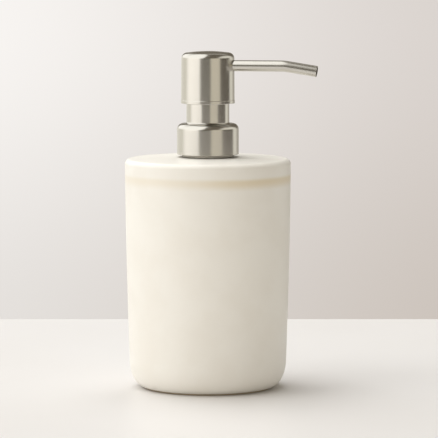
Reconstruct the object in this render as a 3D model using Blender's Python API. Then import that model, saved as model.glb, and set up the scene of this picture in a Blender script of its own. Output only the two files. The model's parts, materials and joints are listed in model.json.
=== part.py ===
"""Pump dispenser bottle for liquid detergent: a glazed ceramic jar under a steel screw-on pump.

Metres, +Z up. The origin is the centre of the face that the bottle stands on, and the spout
points along +X. Outlines are (radius, height) points, with heights above that face. Everything
turns or slides on the Z axis, so each moving piece hangs from an empty on that axis.
"""

from math import asin, atan2, cos, pi, radians, sin, tan

import bmesh
import bpy
from mathutils import Matrix, Vector

GAP = 0.0003  # clearance between pieces that meet
MERGE = 1e-7  # points nearer than this are one point
FINE = 48  # sides of the jar
MEDIUM = 36  # sides of the steel shells
COARSE = 28  # sides of the plastic pieces inside

# Ceramic jar
JAR_BASE = 0.0006
HEEL_CENTRE = 0.0318  # radius where the base starts to curve up
HEEL_REACH = 0.0076
HEEL_TOP = 0.0141
RIM_RADIUS = 0.04155
RIM_FILLET = 0.0026
RIM_TOP = 0.1153
WALL_BOW = 0.0003
CROWN_RISE = 0.0008  # how far the lid of the jar domes up to its flat middle
CROWN_RADIUS = 0.0146
SHOULDER_TOP = RIM_TOP + CROWN_RISE
FLOOR_TOP = 0.0056
CAVITY_FOOT_RADIUS = 0.0360
CAVITY_TOP_RADIUS = 0.0376
CAVITY_TOP = 0.1114
CAVITY_FOOT_FILLET = 0.0080
CAVITY_TOP_FILLET = 0.0045
MOUTH_RADIUS = 0.0122

# Pad under the jar
PAD_RADIUS = 0.0332
PAD_HEIGHT = 0.0014

# Threaded neck, 28 mm nominal, bonded into the mouth
NECK_RIM = 0.1274
NECK_BORE = 0.0100
NECK_FLANGE_RADIUS = 0.01305
NECK_FLANGE_TOP = 0.11775
NECK_SKIRT_RADIUS = 0.0112
NECK_SKIRT_FOOT = 0.1084
SEAL_FOOT = 0.1094
SEAL_TOP = 0.1156
THREAD_PITCH = 0.004233  # six turns to the inch
MALE_CREST, MALE_ROOT = 0.01370, 0.01265
FEMALE_CREST, FEMALE_ROOT = 0.01295, 0.01400
MALE_START, MALE_TURNS = 0.1201, 1.25
FEMALE_START, FEMALE_TURNS = 0.1196, 1.75

# Pump body, from its flange down to the dip tube
FLANGE_RADIUS = 0.0120
FLANGE_TOP = 0.1297
FLANGE_FOOT = 0.1287
BARREL_RADIUS, BARREL_BORE = 0.0080, 0.0065
BARREL_FOOT = 0.0894
SOCKET_RADIUS, SOCKET_BORE = 0.0049, 0.0038
SOCKET_FOOT, SOCKET_CEILING = 0.0734, 0.0847
SEAT_BORE, SEAT_FOOT = 0.0015, 0.0867
LEDGE_BORE, LEDGE_TOP = 0.0056, 0.0923
CAGE_FOOT, CAGE_TOP = 0.0926, 0.0950
CAGE_HOLE, CAGE_SLOT_WIDTH, CAGE_SLOT_LENGTH = 0.0014, 0.0013, 0.0088
BALL_RADIUS, BALL_HEIGHT = 0.00225, 0.08867
TUBE_RADIUS, TUBE_BORE, TUBE_FOOT = 0.0035, 0.0025, 0.0100

# Collar at the top of the pump body, which the stem slides through
CHAPLET_FOOT, CHAPLET_TOP = 0.1274, 0.1384
CHAPLET_FLANGE_RADIUS, CHAPLET_FLANGE_TOP = 0.0084, 0.1316
CHAPLET_TOWER_RADIUS, CHAPLET_BORE = 0.0066, 0.0041

# Closure: threaded cap inside a drawn steel collar
CAP_FOOT, CAP_TOP, CAP_RADIUS = 0.1181, 0.1317, 0.0147
CAP_HOLE, CAP_CEILING = 0.0088, 0.1300
COLLAR_FOOT, COLLAR_TOP, COLLAR_RADIUS = 0.1175, 0.1330, 0.0155
COLLAR_FILLET = 0.0030
SLEEVE_RADIUS, SLEEVE_TOP, SLEEVE_FILLET = 0.01075, 0.1474, 0.0008
SHEET = 0.0005  # thickness of the steel shells

# Piston, stem and spring
STEM_RADIUS, STEM_BORE = 0.0038, 0.0022
STEM_FOOT, STEM_TOP = 0.1212, 0.1553
STOP_RADIUS, STOP_FOOT, STOP_TOP = 0.0053, 0.1258, 0.1270
PISTON_FOOT, PISTON_TOP = 0.1182, 0.1244
PISTON_RADIUS, PISTON_WAIST = 0.00625, 0.0054
PISTON_SEAT_BORE, PISTON_SEAT_TOP = 0.0034, 0.1197
PLUG_FOOT, PLUG_SEAT_TOP, PLUG_SEAT_RADIUS = 0.1146, 0.1160, 0.0058
PLUG_CONE_TOP, PLUG_SHANK_RADIUS, PLUG_TOP = 0.1186, 0.0016, 0.1304
SPRING_RADIUS, SPRING_WIRE = 0.0051, 0.00045
SPRING_FOOT, SPRING_TOP = 0.0953, 0.1143
SPRING_WORKING_TURNS, SPRING_END_TURNS = 6, 1

# Head
HEAD_FOOT, HEAD_EDGE, HEAD_TOP = 0.14305, 0.1684, 0.1692
HEAD_FOOT_RADIUS, HEAD_TOP_RADIUS, HEAD_FILLET = 0.0135, 0.01325, 0.0029
CORE_RADIUS, CORE_FOOT, CORE_TOP, CORE_FILLET = 0.01255, 0.1580, 0.1676, 0.0024
BOSS_RADIUS, BOSS_FOOT, BOSS_CEILING = 0.0058, 0.1494, 0.1556

# Spout
SPOUT_HEIGHT = 0.1619
SPOUT_RADIUS, SPOUT_BORE = 0.0028, 0.0025
LINER_RADIUS, LINER_BORE = 0.0022, 0.0015
SPOUT_START, LINER_START = 0.0093, 0.0043
BEND_START, BEND_RADIUS, BEND_ANGLE = 0.0368, 0.0250, radians(9.0)
SPOUT_TIP_LENGTH, LINER_TIP_LENGTH = 0.0146, 0.0121


def clear_scene():
    for old in list(bpy.data.objects):
        bpy.data.objects.remove(old, do_unlink=True)


def finish(name, colour, roughness, metallic=0.0):
    material = bpy.data.materials.new(name + "_finish")
    material.use_nodes = True
    shader = material.node_tree.nodes["Principled BSDF"]
    shader.inputs["Base Color"].default_value = (*colour, 1.0)
    shader.inputs["Roughness"].default_value = roughness
    shader.inputs["Metallic"].default_value = metallic
    return material


def glaze(name):
    return finish(name, (0.83, 0.80, 0.72), 0.35)


def steel(name):
    return finish(name, (0.62, 0.60, 0.56), 0.28, 1.0)


def natural_plastic(name):
    return finish(name, (0.72, 0.72, 0.68), 0.45)


def grey_plastic(name):
    return finish(name, (0.36, 0.34, 0.30), 0.5)


def rubber(name):
    return finish(name, (0.30, 0.22, 0.14), 0.8)


def glass(name):
    return finish(name, (0.75, 0.85, 0.83), 0.1)


def make_object(name, bm, place, material):
    """Turn a bmesh in world space into an object whose origin is at place."""
    bmesh.ops.recalc_face_normals(bm, faces=bm.faces)
    bmesh.ops.translate(bm, verts=bm.verts, vec=-Vector(place))
    mesh = bpy.data.meshes.new(name)
    bm.to_mesh(mesh)
    bm.free()
    mesh.shade_smooth()
    mesh.set_sharp_from_angle(angle=radians(35))
    mesh.materials.append(material(name))
    made = bpy.data.objects.new(name, mesh)
    made.location = place
    bpy.context.collection.objects.link(made)
    return made


def rounded(corners, steps=3):
    """The outline through (radius, height, fillet) corners, each fillet an arc."""
    outline = []
    for i, (radius, height, fillet) in enumerate(corners):
        if not fillet:
            outline.append((radius, height))
            continue
        corner = Vector((radius, height))
        back = (Vector(corners[i - 1][:2]) - corner).normalized()
        ahead = (Vector(corners[(i + 1) % len(corners)][:2]) - corner).normalized()
        half = back.angle(ahead) / 2
        centre = corner + (back + ahead).normalized() * (fillet / sin(half))
        first = corner + back * (fillet / tan(half)) - centre
        sweep = (pi - 2 * half) * (1 if back.cross(ahead) < 0 else -1)
        start = atan2(first.y, first.x)
        for k in range(steps + 1):
            angle = start + sweep * k / steps
            outline.append((centre.x + fillet * cos(angle), centre.y + fillet * sin(angle)))
    return outline


def turned(name, outline, level, material, sides=COARSE):
    """A solid of revolution. An outline whose two ends are on the axis is left open there."""
    bm = bmesh.new()
    points = [bm.verts.new((radius, 0.0, height)) for radius, height in outline]
    for a, b in zip(points, points[1:]):
        bm.edges.new((a, b))
    if outline[0][0] > 0.0:
        bm.edges.new((points[-1], points[0]))
    bmesh.ops.spin(
        bm, geom=bm.verts[:] + bm.edges[:], cent=(0, 0, 0), axis=(0, 0, 1),
        angle=2 * pi, steps=sides, use_merge=True,
    )
    bmesh.ops.remove_doubles(bm, verts=bm.verts, dist=MERGE)
    return make_object(name, bm, (0, 0, level), material)


def swept_helix(name, section, stages, level, material, start_angle=0.0, steps=24):
    """A closed (radius, height) section swept round the axis in (turns, rise) stages."""
    bm = bmesh.new()
    face = bm.faces.new([bm.verts.new((radius, 0.0, height)) for radius, height in section])
    bmesh.ops.rotate(
        bm, verts=bm.verts, cent=(0, 0, 0), matrix=Matrix.Rotation(start_angle, 3, "Z")
    )
    end = [face, *face.edges, *face.verts]
    for turns, rise in stages:
        count = round(turns * steps)
        swept = bmesh.ops.spin(
            bm, geom=end, cent=(0, 0, 0), axis=(0, 0, 1), dvec=(0, 0, rise / count),
            angle=2 * pi * turns, steps=count,
        )
        end = swept["geom_last"]
    return make_object(name, bm, (0, 0, level), material)


def swept_tube(radius, bore, start, tip_length, sides):
    """A tube along the spout: a straight run, the bend and the tip."""
    bm = bmesh.new()
    along_x = Matrix.Translation((start, 0, SPOUT_HEIGHT)) @ Matrix.Rotation(pi / 2, 4, "Y")
    for size in (radius, bore):
        bmesh.ops.create_circle(bm, cap_ends=False, radius=size, segments=sides, matrix=along_x)
    bmesh.ops.bridge_loops(bm, edges=bm.edges[:])
    end = bm.faces[:] + bm.edges[:] + bm.verts[:]
    end = extruded(bm, end, Vector((BEND_START - start, 0, 0)))
    centre = (BEND_START, 0, SPOUT_HEIGHT - BEND_RADIUS)
    bent = bmesh.ops.spin(
        bm, geom=end, cent=centre, axis=(0, 1, 0), angle=BEND_ANGLE, steps=4
    )
    tip = Vector((cos(BEND_ANGLE), 0, -sin(BEND_ANGLE))) * tip_length
    extruded(bm, bent["geom_last"], tip)
    return bm


def extruded(bm, geometry, move):
    """Extrude geometry by move and return its far end."""
    made = bmesh.ops.extrude_face_region(bm, geom=geometry)["geom"]
    points = [item for item in made if isinstance(item, bmesh.types.BMVert)]
    bmesh.ops.translate(bm, verts=points, vec=move)
    return made


def guide(cutter):
    """Keep a cutter out of the finished model."""
    cutter.hide_render = True
    cutter.display_type = "WIRE"
    return cutter


def boolean(target, other, operation):
    modifier = target.modifiers.new(other.name, "BOOLEAN")
    modifier.operation = operation
    modifier.object = guide(other)


def axis_empty(name, height, parent=None):
    empty = bpy.data.objects.new(name, None)
    empty.location = (0, 0, height)
    bpy.context.collection.objects.link(empty)
    if parent:
        hang(parent, empty)
    return empty


def hang(parent, *children):
    """Parent the children and leave them where they are."""
    bpy.context.view_layer.update()
    for child in children:
        child.parent = parent
        child.matrix_parent_inverse = parent.matrix_world.inverted()


def heel_curve(steps=7):
    """Quarter ellipse from the foot ring up into the wall."""
    height = HEEL_TOP - JAR_BASE
    start = asin((PAD_RADIUS + 2 * GAP - HEEL_CENTRE) / HEEL_REACH)
    angles = [start + (pi / 2 - start) * k / steps for k in range(steps + 1)]
    return [(HEEL_CENTRE + HEEL_REACH * sin(a), HEEL_TOP - height * cos(a)) for a in angles]


def wall_curve(steps=5):
    """The wall widens towards the rim and bows out slightly on the way."""
    low = Vector((HEEL_CENTRE + HEEL_REACH, HEEL_TOP))
    high = Vector((RIM_RADIUS, RIM_TOP - RIM_FILLET))
    points = []
    for k in range(1, steps):
        share = k / steps
        point = low.lerp(high, share)
        points.append((point.x + 4 * WALL_BOW * share * (1 - share), point.y))
    return points


def crown_curve(steps=3):
    """The lid rises from the rim to the flat round the mouth, level where it gets there."""
    edge = RIM_RADIUS - RIM_FILLET
    points = []
    for k in range(1, steps + 1):
        share = k / steps
        radius = edge + (CROWN_RADIUS - edge) * share
        points.append((radius, RIM_TOP + CROWN_RISE * (1 - (1 - share) ** 2)))
    return points


def make_jar():
    rim = rounded([
        (RIM_RADIUS, HEEL_TOP, 0), (RIM_RADIUS, RIM_TOP, RIM_FILLET), (CROWN_RADIUS, RIM_TOP, 0),
    ])[1:-1]
    cavity = rounded([
        (MOUTH_RADIUS, SHOULDER_TOP, 0),
        (MOUTH_RADIUS, CAVITY_TOP, 0),
        (CAVITY_TOP_RADIUS, CAVITY_TOP, CAVITY_TOP_FILLET),
        (CAVITY_FOOT_RADIUS, FLOOR_TOP, CAVITY_FOOT_FILLET),
        (0.0, FLOOR_TOP, 0),
    ])
    foot = [(0.0, PAD_HEIGHT + GAP), (PAD_RADIUS + GAP, PAD_HEIGHT + GAP)]
    outline = foot + heel_curve() + wall_curve() + rim + crown_curve() + cavity
    return turned("bottle", outline, 0.0, glaze, FINE)


def make_foot_pad():
    edge = 0.0004
    outline = rounded([
        (0.0, 0.0, 0), (PAD_RADIUS, 0.0, edge), (PAD_RADIUS, PAD_HEIGHT, 0), (0.0, PAD_HEIGHT, 0),
    ], steps=2)
    return turned("foot_pad", outline, 0.0, rubber, FINE)


def thread_section(root, crest, height):
    """Trapezoid ridge, buried in the wall it stands on."""
    bury = 0.0003 if crest < root else -0.0003
    wide, narrow = 0.00105, 0.00055
    return [
        (root + bury, height - wide), (crest, height - narrow),
        (crest, height + narrow), (root + bury, height + wide),
    ]


def add_thread(target, root, crest, start, turns, start_angle):
    section = thread_section(root, crest, start)
    rise = THREAD_PITCH * turns
    ridge = swept_helix(
        target.name + "_thread", section, [(turns, rise)], start, grey_plastic, start_angle
    )
    boolean(target, ridge, "UNION")


def make_neck_insert():
    edge = 0.0005
    flange_foot = SHOULDER_TOP + GAP
    outline = rounded([
        (NECK_BORE, NECK_SKIRT_FOOT, 0),
        (NECK_SKIRT_RADIUS, NECK_SKIRT_FOOT, 0),
        (NECK_SKIRT_RADIUS, flange_foot, 0),
        (NECK_FLANGE_RADIUS, flange_foot, 0),
        (NECK_FLANGE_RADIUS, NECK_FLANGE_TOP, 0),
        (MALE_ROOT, NECK_FLANGE_TOP, 0),
        (MALE_ROOT, NECK_RIM, edge),
        (NECK_BORE, NECK_RIM, edge),
    ], steps=1)
    neck = turned("neck_insert", outline, NECK_FLANGE_TOP, grey_plastic)
    add_thread(neck, MALE_ROOT, MALE_CREST, MALE_START, MALE_TURNS, 0.0)
    return neck


def make_mouth_seal():
    inner = NECK_SKIRT_RADIUS + GAP
    outer = MOUTH_RADIUS - GAP
    outline = [(inner, SEAL_FOOT), (outer, SEAL_FOOT), (outer, SEAL_TOP), (inner, SEAL_TOP)]
    return turned("mouth_seal", outline, SEAL_FOOT, rubber, MEDIUM)


def make_pump_cylinder():
    neck_slope = 0.0032
    outline = [
        (SOCKET_BORE, SOCKET_FOOT),
        (SOCKET_RADIUS, SOCKET_FOOT),
        (SOCKET_RADIUS, BARREL_FOOT - neck_slope),
        (BARREL_RADIUS, BARREL_FOOT),
        (BARREL_RADIUS, FLANGE_FOOT),
        (FLANGE_RADIUS, FLANGE_FOOT),
        (FLANGE_RADIUS, FLANGE_TOP),
        (BARREL_BORE, FLANGE_TOP),
        (BARREL_BORE, LEDGE_TOP),
        (LEDGE_BORE, LEDGE_TOP),
        (LEDGE_BORE, SEAT_FOOT + LEDGE_BORE - SEAT_BORE),
        (SEAT_BORE, SEAT_FOOT),
        (SEAT_BORE, SOCKET_CEILING),
        (SOCKET_BORE, SOCKET_CEILING),
    ]
    return turned("pump_cylinder", outline, FLANGE_FOOT, natural_plastic)


def make_neck_gasket():
    low, high = NECK_RIM + GAP, FLANGE_FOOT - GAP
    inner, outer = BARREL_RADIUS + 0.0006, FLANGE_RADIUS
    outline = [(inner, low), (outer, low), (outer, high), (inner, high)]
    return turned("neck_gasket", outline, low, rubber)


def make_chaplet():
    low_radius = BARREL_BORE - GAP
    shelf = FLANGE_TOP + GAP
    outline = rounded([
        (CHAPLET_BORE, CHAPLET_FOOT, 0),
        (low_radius, CHAPLET_FOOT, 0),
        (low_radius, shelf, 0),
        (CHAPLET_FLANGE_RADIUS, shelf, 0),
        (CHAPLET_FLANGE_RADIUS, CHAPLET_FLANGE_TOP, 0),
        (CHAPLET_TOWER_RADIUS, CHAPLET_FLANGE_TOP, 0),
        (CHAPLET_TOWER_RADIUS, CHAPLET_TOP, 0.0012),
        (CHAPLET_BORE, CHAPLET_TOP, 0),
    ])
    return turned("chaplet", outline, CHAPLET_FOOT, natural_plastic)


def make_ball_cage():
    """The ring that keeps the ball in and carries the spring, cross-slotted for the liquid."""
    outer = BARREL_BORE - GAP
    outline = [(CAGE_HOLE, CAGE_FOOT), (outer, CAGE_FOOT), (outer, CAGE_TOP), (CAGE_HOLE, CAGE_TOP)]
    cage = turned("ball_cage", outline, CAGE_FOOT, natural_plastic, 24)
    middle = (CAGE_FOOT + CAGE_TOP) / 2
    for number, (length, width) in enumerate((
        (CAGE_SLOT_LENGTH, CAGE_SLOT_WIDTH), (CAGE_SLOT_WIDTH, CAGE_SLOT_LENGTH),
    )):
        bm = bmesh.new()
        bmesh.ops.create_cube(bm, size=1.0)
        bmesh.ops.scale(bm, verts=bm.verts, vec=(length, width, 2 * (CAGE_TOP - CAGE_FOOT)))
        bmesh.ops.translate(bm, verts=bm.verts, vec=(0, 0, middle))
        slot = make_object(f"cage_slot_{number}", bm, (0, 0, middle), natural_plastic)
        boolean(cage, slot, "DIFFERENCE")
    return cage


def make_inlet_ball():
    bm = bmesh.new()
    bmesh.ops.create_uvsphere(bm, u_segments=16, v_segments=10, radius=BALL_RADIUS)
    bmesh.ops.translate(bm, verts=bm.verts, vec=(0, 0, BALL_HEIGHT))
    return make_object("inlet_ball", bm, (0, 0, BALL_HEIGHT), glass)


def make_dip_tube():
    high = SOCKET_CEILING - GAP
    outline = [(TUBE_BORE, TUBE_FOOT), (TUBE_RADIUS, TUBE_FOOT), (TUBE_RADIUS, high), (TUBE_BORE, high)]
    return turned("dip_tube", outline, high, natural_plastic, 20)


def make_return_spring():
    """A compression spring with one closed turn at each end."""
    closed = 2.4 * SPRING_WIRE
    low, high = SPRING_FOOT + SPRING_WIRE, SPRING_TOP - SPRING_WIRE
    working = high - low - 2 * SPRING_END_TURNS * closed
    section = [
        (SPRING_RADIUS + SPRING_WIRE * cos(k * pi / 3), low + SPRING_WIRE * sin(k * pi / 3))
        for k in range(6)
    ]
    stages = [
        (SPRING_END_TURNS, SPRING_END_TURNS * closed),
        (SPRING_WORKING_TURNS, working),
        (SPRING_END_TURNS, SPRING_END_TURNS * closed),
    ]
    return swept_helix("return_spring", section, stages, SPRING_FOOT, steel, steps=20)


def make_closure_cap():
    corner = 0.0022
    outline = rounded([
        (FEMALE_ROOT, CAP_FOOT, 0),
        (CAP_RADIUS, CAP_FOOT, 0),
        (CAP_RADIUS, CAP_TOP, corner),
        (CAP_HOLE, CAP_TOP, 0),
        (CAP_HOLE, CAP_CEILING, 0),
        (FEMALE_ROOT, CAP_CEILING, 0),
    ])
    cap = turned("closure_cap", outline, CAP_FOOT, grey_plastic)
    # Half a pitch above the neck's thread, on the same helix
    climbed = FEMALE_START - MALE_START - THREAD_PITCH / 2
    start_angle = 2 * pi * climbed / THREAD_PITCH
    add_thread(cap, FEMALE_ROOT, FEMALE_CREST, FEMALE_START, FEMALE_TURNS, start_angle)
    return cap


def make_collar_shell():
    """One drawn shell: the grip round the cap, and the sleeve that the head slides over."""
    inner_fillet = COLLAR_FILLET - SHEET
    outline = rounded([
        (COLLAR_RADIUS - SHEET, COLLAR_FOOT, 0),
        (COLLAR_RADIUS, COLLAR_FOOT, 0),
        (COLLAR_RADIUS, COLLAR_TOP, COLLAR_FILLET),
        (SLEEVE_RADIUS, COLLAR_TOP, SLEEVE_FILLET),
        (SLEEVE_RADIUS, SLEEVE_TOP, 0),
        (SLEEVE_RADIUS - SHEET, SLEEVE_TOP, 0),
        (SLEEVE_RADIUS - SHEET, COLLAR_TOP - SHEET, 0),
        (COLLAR_RADIUS - SHEET, COLLAR_TOP - SHEET, inner_fillet),
    ])
    return turned("collar_shell", outline, COLLAR_FOOT, steel, MEDIUM)


def make_piston_seal():
    lip = 0.0012
    outline = [
        (PISTON_SEAT_BORE, PISTON_FOOT),
        (PISTON_RADIUS, PISTON_FOOT),
        (PISTON_RADIUS, PISTON_FOOT + lip),
        (PISTON_WAIST, PISTON_FOOT + 2 * lip),
        (PISTON_WAIST, PISTON_TOP - 2 * lip),
        (PISTON_RADIUS, PISTON_TOP - lip),
        (PISTON_RADIUS, PISTON_TOP),
        (STEM_RADIUS + GAP, PISTON_TOP),
        (STEM_RADIUS + GAP, PISTON_SEAT_TOP),
        (PISTON_SEAT_BORE, PISTON_SEAT_TOP),
    ]
    return turned("piston_seal", outline, PISTON_FOOT, natural_plastic)


def make_stem_plug():
    """Spring seat, cone that shuts the piston, and shank up inside the stem."""
    cone_foot = PLUG_SHANK_RADIUS + PLUG_CONE_TOP - PLUG_SEAT_TOP + 0.001
    outline = [
        (0.0, PLUG_FOOT),
        (PLUG_SEAT_RADIUS, PLUG_FOOT),
        (PLUG_SEAT_RADIUS, PLUG_SEAT_TOP),
        (cone_foot, PLUG_SEAT_TOP),
        (PLUG_SHANK_RADIUS + 0.001, PLUG_CONE_TOP),
        (PLUG_SHANK_RADIUS, PLUG_CONE_TOP),
        (PLUG_SHANK_RADIUS, PLUG_TOP),
        (0.0, PLUG_TOP),
    ]
    return turned("stem_plug", outline, PLUG_FOOT, natural_plastic, 24)


def make_piston_stem():
    outline = [
        (STEM_BORE, STEM_FOOT),
        (STEM_RADIUS, STEM_FOOT),
        (STEM_RADIUS, STOP_FOOT),
        (STOP_RADIUS, STOP_FOOT),
        (STOP_RADIUS, STOP_TOP),
        (STEM_RADIUS, STOP_TOP),
        (STEM_RADIUS, STEM_TOP),
        (STEM_BORE, STEM_TOP),
    ]
    return turned("piston_stem", outline, STEM_FOOT, natural_plastic, 24)


def make_spout_cutter():
    """Stepped hole from the middle of the head out through its side."""
    steps = [
        (0.0, LINER_BORE + GAP), (LINER_START - GAP, LINER_RADIUS + GAP),
        (SPOUT_START - GAP, SPOUT_RADIUS + GAP), (HEAD_FOOT_RADIUS + 0.002, 0.0),
    ]
    outline = [(0.0, 0.0)]
    for (here, radius), (there, _) in zip(steps, steps[1:]):
        outline += [(radius, here), (radius, there)]
    outline.append((0.0, steps[-1][0]))
    cutter = turned("spout_hole", outline, 0.0, natural_plastic, 20)
    cutter.location = (0, 0, SPOUT_HEIGHT)
    cutter.rotation_euler = (0, pi / 2, 0)
    return cutter


def make_head_shell(spout_hole):
    """Drawn steel cup, open at the bottom, with a slightly domed top."""
    inner_fillet = HEAD_FILLET - SHEET
    dome = 0.5
    outline = rounded([
        (HEAD_FOOT_RADIUS - SHEET, HEAD_FOOT, 0),
        (HEAD_FOOT_RADIUS, HEAD_FOOT, 0),
        (HEAD_TOP_RADIUS, HEAD_EDGE, HEAD_FILLET),
        (dome * HEAD_TOP_RADIUS, HEAD_TOP - (HEAD_TOP - HEAD_EDGE) / 4, 0),
        (0.0, HEAD_TOP, 0),
        (0.0, HEAD_TOP - SHEET, 0),
        (dome * HEAD_TOP_RADIUS, HEAD_TOP - (HEAD_TOP - HEAD_EDGE) / 4 - SHEET, 0),
        (HEAD_TOP_RADIUS - SHEET, HEAD_EDGE - SHEET, inner_fillet),
    ])
    shell = turned("head_shell", outline, HEAD_FOOT, steel, MEDIUM)
    boolean(shell, spout_hole, "DIFFERENCE")
    return shell


def make_head_core(spout_hole):
    """Plastic block pressed into the shell: stem socket below, liquid passage to the spout."""
    outline = rounded([
        (STEM_RADIUS + GAP, BOSS_FOOT, 0),
        (BOSS_RADIUS, BOSS_FOOT, 0),
        (BOSS_RADIUS, CORE_FOOT, 0),
        (CORE_RADIUS, CORE_FOOT, 0),
        (CORE_RADIUS, CORE_TOP, CORE_FILLET),
        (0.0, CORE_TOP, 0),
        (0.0, SPOUT_HEIGHT, 0),
        (STEM_BORE, SPOUT_HEIGHT, 0),
        (STEM_BORE, BOSS_CEILING, 0),
        (STEM_RADIUS + GAP, BOSS_CEILING, 0),
    ])
    core = turned("head_core", outline, BOSS_FOOT, natural_plastic)
    boolean(core, spout_hole, "DIFFERENCE")
    return core


def make_spout():
    tube = swept_tube(SPOUT_RADIUS, SPOUT_BORE, SPOUT_START, SPOUT_TIP_LENGTH, 20)
    liner = swept_tube(LINER_RADIUS, LINER_BORE, LINER_START, LINER_TIP_LENGTH, 12)
    return (
        make_object("spout_tube", tube, (0, 0, SPOUT_HEIGHT), steel),
        make_object("spout_liner", liner, (0, 0, SPOUT_HEIGHT), natural_plastic),
    )


def assemble():
    """Empties on the joint axes carry the pieces, as the joints do."""
    make_jar()
    make_foot_pad()
    make_neck_insert()
    make_mouth_seal()

    pump = axis_empty("pump_axis", NECK_RIM)
    hang(
        pump, make_pump_cylinder(), make_neck_gasket(), make_chaplet(), make_ball_cage(),
        make_dip_tube(), make_return_spring(),
    )
    hang(axis_empty("closure_axis", COLLAR_FOOT, pump), make_collar_shell(), make_closure_cap())
    hang(axis_empty("ball_axis", BALL_HEIGHT, pump), make_inlet_ball())
    hang(axis_empty("piston_axis", PISTON_FOOT, pump), make_piston_seal())

    plunger = axis_empty("plunger_axis", PLUG_FOOT, pump)
    hang(plunger, make_stem_plug())
    head = axis_empty("head_axis", HEAD_FOOT, plunger)
    spout_hole = make_spout_cutter()
    hang(
        head, make_head_shell(spout_hole), make_head_core(spout_hole), make_piston_stem(),
        *make_spout(), guide(spout_hole),
    )


clear_scene()
assemble()
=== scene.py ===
# %% [markdown]
# # A pump dispenser bottle
#
# The real object is a glazed ceramic jar with a steel screw-on lotion pump. The jar is cast,
# glazed and fired; the pump's shells are drawn from thin steel sheet and brushed; what works
# inside is moulded plastic, a spring and a glass ball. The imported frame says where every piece
# is and which body carries it. This script gives each piece its fine shape and its finish.

# %% The frame
import json
from math import asin, atan2, cos, hypot, pi, radians, sin

import bmesh
import bpy
from mathutils import Matrix, Vector

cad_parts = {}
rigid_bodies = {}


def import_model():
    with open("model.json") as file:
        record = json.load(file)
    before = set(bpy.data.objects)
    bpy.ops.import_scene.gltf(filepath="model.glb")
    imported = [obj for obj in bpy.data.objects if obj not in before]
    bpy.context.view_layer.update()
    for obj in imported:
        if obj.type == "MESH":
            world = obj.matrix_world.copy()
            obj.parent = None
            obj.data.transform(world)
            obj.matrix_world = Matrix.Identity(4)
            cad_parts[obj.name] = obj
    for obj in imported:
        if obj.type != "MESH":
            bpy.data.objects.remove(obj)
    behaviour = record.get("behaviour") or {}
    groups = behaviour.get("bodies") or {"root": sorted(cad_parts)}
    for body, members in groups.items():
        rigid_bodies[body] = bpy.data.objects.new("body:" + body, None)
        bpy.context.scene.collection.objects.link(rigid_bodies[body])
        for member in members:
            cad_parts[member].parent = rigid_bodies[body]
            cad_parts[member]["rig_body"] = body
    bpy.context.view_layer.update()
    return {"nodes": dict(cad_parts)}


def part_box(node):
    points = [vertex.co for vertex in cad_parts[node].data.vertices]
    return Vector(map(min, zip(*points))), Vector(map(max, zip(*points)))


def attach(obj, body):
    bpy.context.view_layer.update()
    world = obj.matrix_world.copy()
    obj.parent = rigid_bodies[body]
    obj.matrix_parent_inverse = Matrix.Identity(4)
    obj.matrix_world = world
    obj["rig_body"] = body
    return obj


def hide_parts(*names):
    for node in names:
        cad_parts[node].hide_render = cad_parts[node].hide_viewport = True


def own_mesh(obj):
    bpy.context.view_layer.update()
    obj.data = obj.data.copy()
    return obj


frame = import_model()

GAP = 0.0003  # clearance that neighbouring pieces keep
MERGE = 1e-7  # points closer than this are one point


def foot_of(node):
    """The height of a node's lowest point."""
    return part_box(node)[0].z


def top_of(node):
    """The height of a node's highest point."""
    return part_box(node)[1].z


def radius_of(node):
    """The largest radius of a round node, which stands on the Z axis."""
    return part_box(node)[1].y


# %% [markdown]
# ## The camera
#
# A catalogue picture of a small object is taken with a long lens from a little above, so that
# the upright sides stay upright. Here the camera stands 1.7 m away and 245 mm above the table,
# turned 10 degrees round the bottle, so that the spout comes slightly towards it.

# %% The camera
TURN = radians(10)
RIGHT = Vector((cos(TURN), sin(TURN), 0))  # to the right in the picture
TOWARDS = Vector((sin(TURN), -cos(TURN), 0))  # from the bottle to the camera
CAMERA_DISTANCE = 1.700
CAMERA_HEIGHT = 0.2464
CAMERA_ASIDE = 0.00558  # the bottle stands this far left of the middle of the picture
PITCH = radians(5.43)
LENS_MM = 279.5
SENSOR_MM = 36

camera_data = bpy.data.cameras.new("camera")
camera_data.lens = LENS_MM
camera_data.sensor_width = SENSOR_MM
camera_data.clip_start = 0.1
camera_data.clip_end = 20
camera = bpy.data.objects.new("camera", camera_data)
bpy.context.scene.collection.objects.link(camera)
camera.location = TOWARDS * CAMERA_DISTANCE + RIGHT * CAMERA_ASIDE
camera.location.z = CAMERA_HEIGHT
look = -TOWARDS * cos(PITCH) - Vector((0, 0, sin(PITCH)))
camera.rotation_euler = look.to_track_quat("-Z", "Y").to_euler()
bpy.context.scene.camera = camera
bpy.context.scene.view_settings.view_transform = "Standard"
print("camera", [round(x, 3) for x in camera.location])


# %% [markdown]
# ## Nodes as sums
#
# A shader is a network of small sums. Wrapping a node's output in a class with Python's own
# operators lets a pattern be written as a formula: `1 - mask * 0.3` adds the Math nodes for it.
# Every other node comes from one method, which takes its settings first and its inputs after.

# %% Node graph helpers
def arithmetic(operation, swapped=False):
    """An operator that adds a Math node."""
    def method(self, other):
        pair = (other, self) if swapped else (self, other)
        return self.graph.math(operation, *pair)
    return method


class Wire:
    """One output of a node."""

    def __init__(self, graph, socket):
        self.graph = graph
        self.socket = socket

    __add__ = arithmetic("ADD")
    __radd__ = arithmetic("ADD", swapped=True)
    __sub__ = arithmetic("SUBTRACT")
    __rsub__ = arithmetic("SUBTRACT", swapped=True)
    __mul__ = arithmetic("MULTIPLY")
    __rmul__ = arithmetic("MULTIPLY", swapped=True)
    __truediv__ = arithmetic("DIVIDE")
    __pow__ = arithmetic("POWER")


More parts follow.
